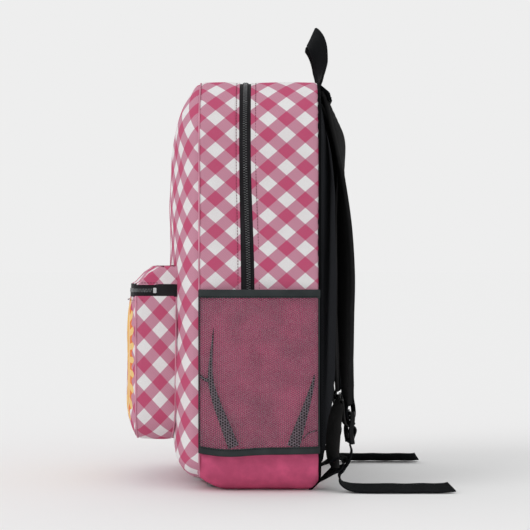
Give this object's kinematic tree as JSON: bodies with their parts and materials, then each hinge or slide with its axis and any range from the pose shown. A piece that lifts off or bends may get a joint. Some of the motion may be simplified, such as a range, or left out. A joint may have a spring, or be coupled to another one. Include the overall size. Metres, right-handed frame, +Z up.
{
  "type": "school backpack",
  "caption": "Soft school backpack with a zipped main bag, a zipped front pocket, elastic mesh side pockets, a top handle and two padded shoulder straps.",
  "frame": {"origin": "on the ground, under the middle of the bag's box without the loose webbing ends", "axes": "+Z up, -Y towards the front pocket, +Y towards the wearer's back, X across the bag"},
  "size_m": [0.3292, 0.3841, 0.5497],
  "materials": {
    "gingham": "woven polyester, printed",
    "pink": "woven polyester",
    "mesh": "open knitted mesh",
    "webbing": "woven webbing",
    "binding": "ribbed elastic and tape",
    "padding": "air mesh over foam",
    "zipper": "zipper tape and nylon coil",
    "metal": "polished",
    "plastic": "moulded",
    "foam": "foam sheet",
    "lining": "padded lining"
  },
  "bodies": {
    "bag": {"front_panel_lower": "gingham", "gusset_front_stub_R": "gingham", "gusset_front_stub_L": "gingham", "gusset_rear": "gingham", "pocket_front_panel": "gingham", "pocket_side_band": "gingham", "bottom_panel": "pink", "side_panel_R": "pink", "side_panel_L": "pink", "anchor_tab_R": "webbing", "anchor_tab_L": "webbing", "back_panel": "padding", "zipper_tape_rear": "zipper", "zipper_coil_rear": "zipper", "pocket_tape_lower": "zipper", "pocket_coil_lower": "zipper", "pocket_end_stop_R": "metal", "pocket_end_stop_L": "metal", "back_foam": "foam", "base_stiffener": "foam", "laptop_sleeve": "lining"},
    "front_flap": {"front_panel_upper": "gingham", "gusset_front": "gingham", "zipper_tape_front": "zipper", "zipper_coil_front": "zipper"},
    "pocket_lid": {"pocket_top_cap": "gingham", "pocket_tape_upper": "zipper", "pocket_coil_upper": "zipper"},
    "pocket_zip_slider": {"pocket_slider": "metal"},
    "pocket_zip_pull": {"pocket_pull": "metal"},
    "handle": {"top_handle": "webbing"},
    "zip_slider_R": {"main_slider_R": "metal"},
    "zip_pull_R": {"main_pull_R": "metal"},
    "mesh_pocket_R": {"side_mesh_R": "mesh", "mesh_elastic_R": "binding", "mesh_hem_R": "binding"},
    "strap_R": {"shoulder_strap_R": "padding", "strap_yoke_R": "webbing", "lock_keeper_R": "webbing"},
    "buckle_R": {"ladder_lock_R": "plastic", "webbing_tail_R": "webbing"},
    "adjuster_R": {"adjuster_webbing_R": "webbing"},
    "zip_slider_L": {"main_slider_L": "metal"},
    "zip_pull_L": {"main_pull_L": "metal"},
    "mesh_pocket_L": {"side_mesh_L": "mesh", "mesh_elastic_L": "binding", "mesh_hem_L": "binding"},
    "strap_L": {"shoulder_strap_L": "padding", "strap_yoke_L": "webbing", "lock_keeper_L": "webbing"},
    "buckle_L": {"ladder_lock_L": "plastic", "webbing_tail_L": "webbing"},
    "adjuster_L": {"adjuster_webbing_L": "webbing"}
  },
  "joints": [
    {"name": "front_flap_fold", "type": "hinge", "parent": "bag", "child": "front_flap", "pos_m": [0, -0.0845, 0.262], "axis": [1, 0, 0], "range_deg": [0, 25]},
    {"name": "pocket_lid_lift", "type": "hinge", "parent": "bag", "child": "pocket_lid", "pos_m": [0, -0.0845, 0.2575], "axis": [-1, 0, 0], "range_deg": [0, 45]},
    {"name": "pocket_slider_run", "type": "slide", "parent": "bag", "child": "pocket_zip_slider", "axis": [1, 0, 0], "range_m": [0, 0.15]},
    {"name": "pocket_pull_swing", "type": "hinge", "parent": "pocket_zip_slider", "child": "pocket_zip_pull", "pos_m": [-0.083, -0.13462, 0.2295], "axis": [0, 0, 1], "range_deg": [0, 120]},
    {"name": "handle_swing", "type": "hinge", "parent": "bag", "child": "handle", "pos_m": [0, 0.0965, 0.4735], "axis": [1, 0, 0], "range_deg": [-60, 60]},
    {"name": "zip_slider_run_R", "type": "slide", "parent": "bag", "child": "zip_slider_R", "axis": [1, 0, 0], "range_m": [0, 0.066]},
    {"name": "zip_pull_swing_R", "type": "hinge", "parent": "zip_slider_R", "child": "zip_pull_R", "pos_m": [0.0075, 0.0082, 0.4782], "axis": [0, -1, 0], "range_deg": [0, 120]},
    {"name": "mesh_pocket_stretch_R", "type": "hinge", "parent": "bag", "child": "mesh_pocket_R", "pos_m": [0.1512, 0.0245, 0.043], "axis": [0, 1, 0], "range_deg": [0, 15]},
    {"name": "strap_swing_R", "type": "hinge", "parent": "bag", "child": "strap_R", "pos_m": [0, 0.0955, 0.469], "axis": [1, 0, 0], "range_deg": [0, 15]},
    {"name": "buckle_tilt_R", "type": "hinge", "parent": "strap_R", "child": "buckle_R", "pos_m": [0.128, 0.128, 0.0905], "axis": [1, 0, 0], "range_deg": [0, 20]},
    {"name": "adjuster_swing_R", "type": "hinge", "parent": "bag", "child": "adjuster_R", "pos_m": [0.133, 0.1175, 0.03], "axis": [-1, 0, 0], "range_deg": [0, 54]},
    {"name": "zip_slider_run_L", "type": "slide", "parent": "bag", "child": "zip_slider_L", "axis": [-1, 0, 0], "range_m": [0, 0.066]},
    {"name": "zip_pull_swing_L", "type": "hinge", "parent": "zip_slider_L", "child": "zip_pull_L", "pos_m": [-0.0075, 0.0082, 0.4782], "axis": [0, 1, 0], "range_deg": [0, 120]},
    {"name": "mesh_pocket_stretch_L", "type": "hinge", "parent": "bag", "child": "mesh_pocket_L", "pos_m": [-0.1512, 0.0245, 0.043], "axis": [0, -1, 0], "range_deg": [0, 15]},
    {"name": "strap_swing_L", "type": "hinge", "parent": "bag", "child": "strap_L", "pos_m": [0, 0.0955, 0.469], "axis": [1, 0, 0], "range_deg": [0, 15]},
    {"name": "buckle_tilt_L", "type": "hinge", "parent": "strap_L", "child": "buckle_L", "pos_m": [-0.128, 0.128, 0.0905], "axis": [1, 0, 0], "range_deg": [0, 20]},
    {"name": "adjuster_swing_L", "type": "hinge", "parent": "bag", "child": "adjuster_L", "pos_m": [-0.133, 0.1175, 0.03], "axis": [-1, 0, 0], "range_deg": [0, 54]}
  ],
  "couplings": [
    {"joint": "pocket_slider_run", "follows": "pocket_lid_lift", "m_per_rad": 0.19},
    {"joint": "zip_slider_run_R", "follows": "front_flap_fold", "m_per_rad": 0.15},
    {"joint": "adjuster_swing_R", "follows": "strap_swing_R", "ratio": 3.5},
    {"joint": "zip_slider_run_L", "follows": "front_flap_fold", "m_per_rad": 0.15},
    {"joint": "adjuster_swing_L", "follows": "strap_swing_L", "ratio": 3.5}
  ]
}
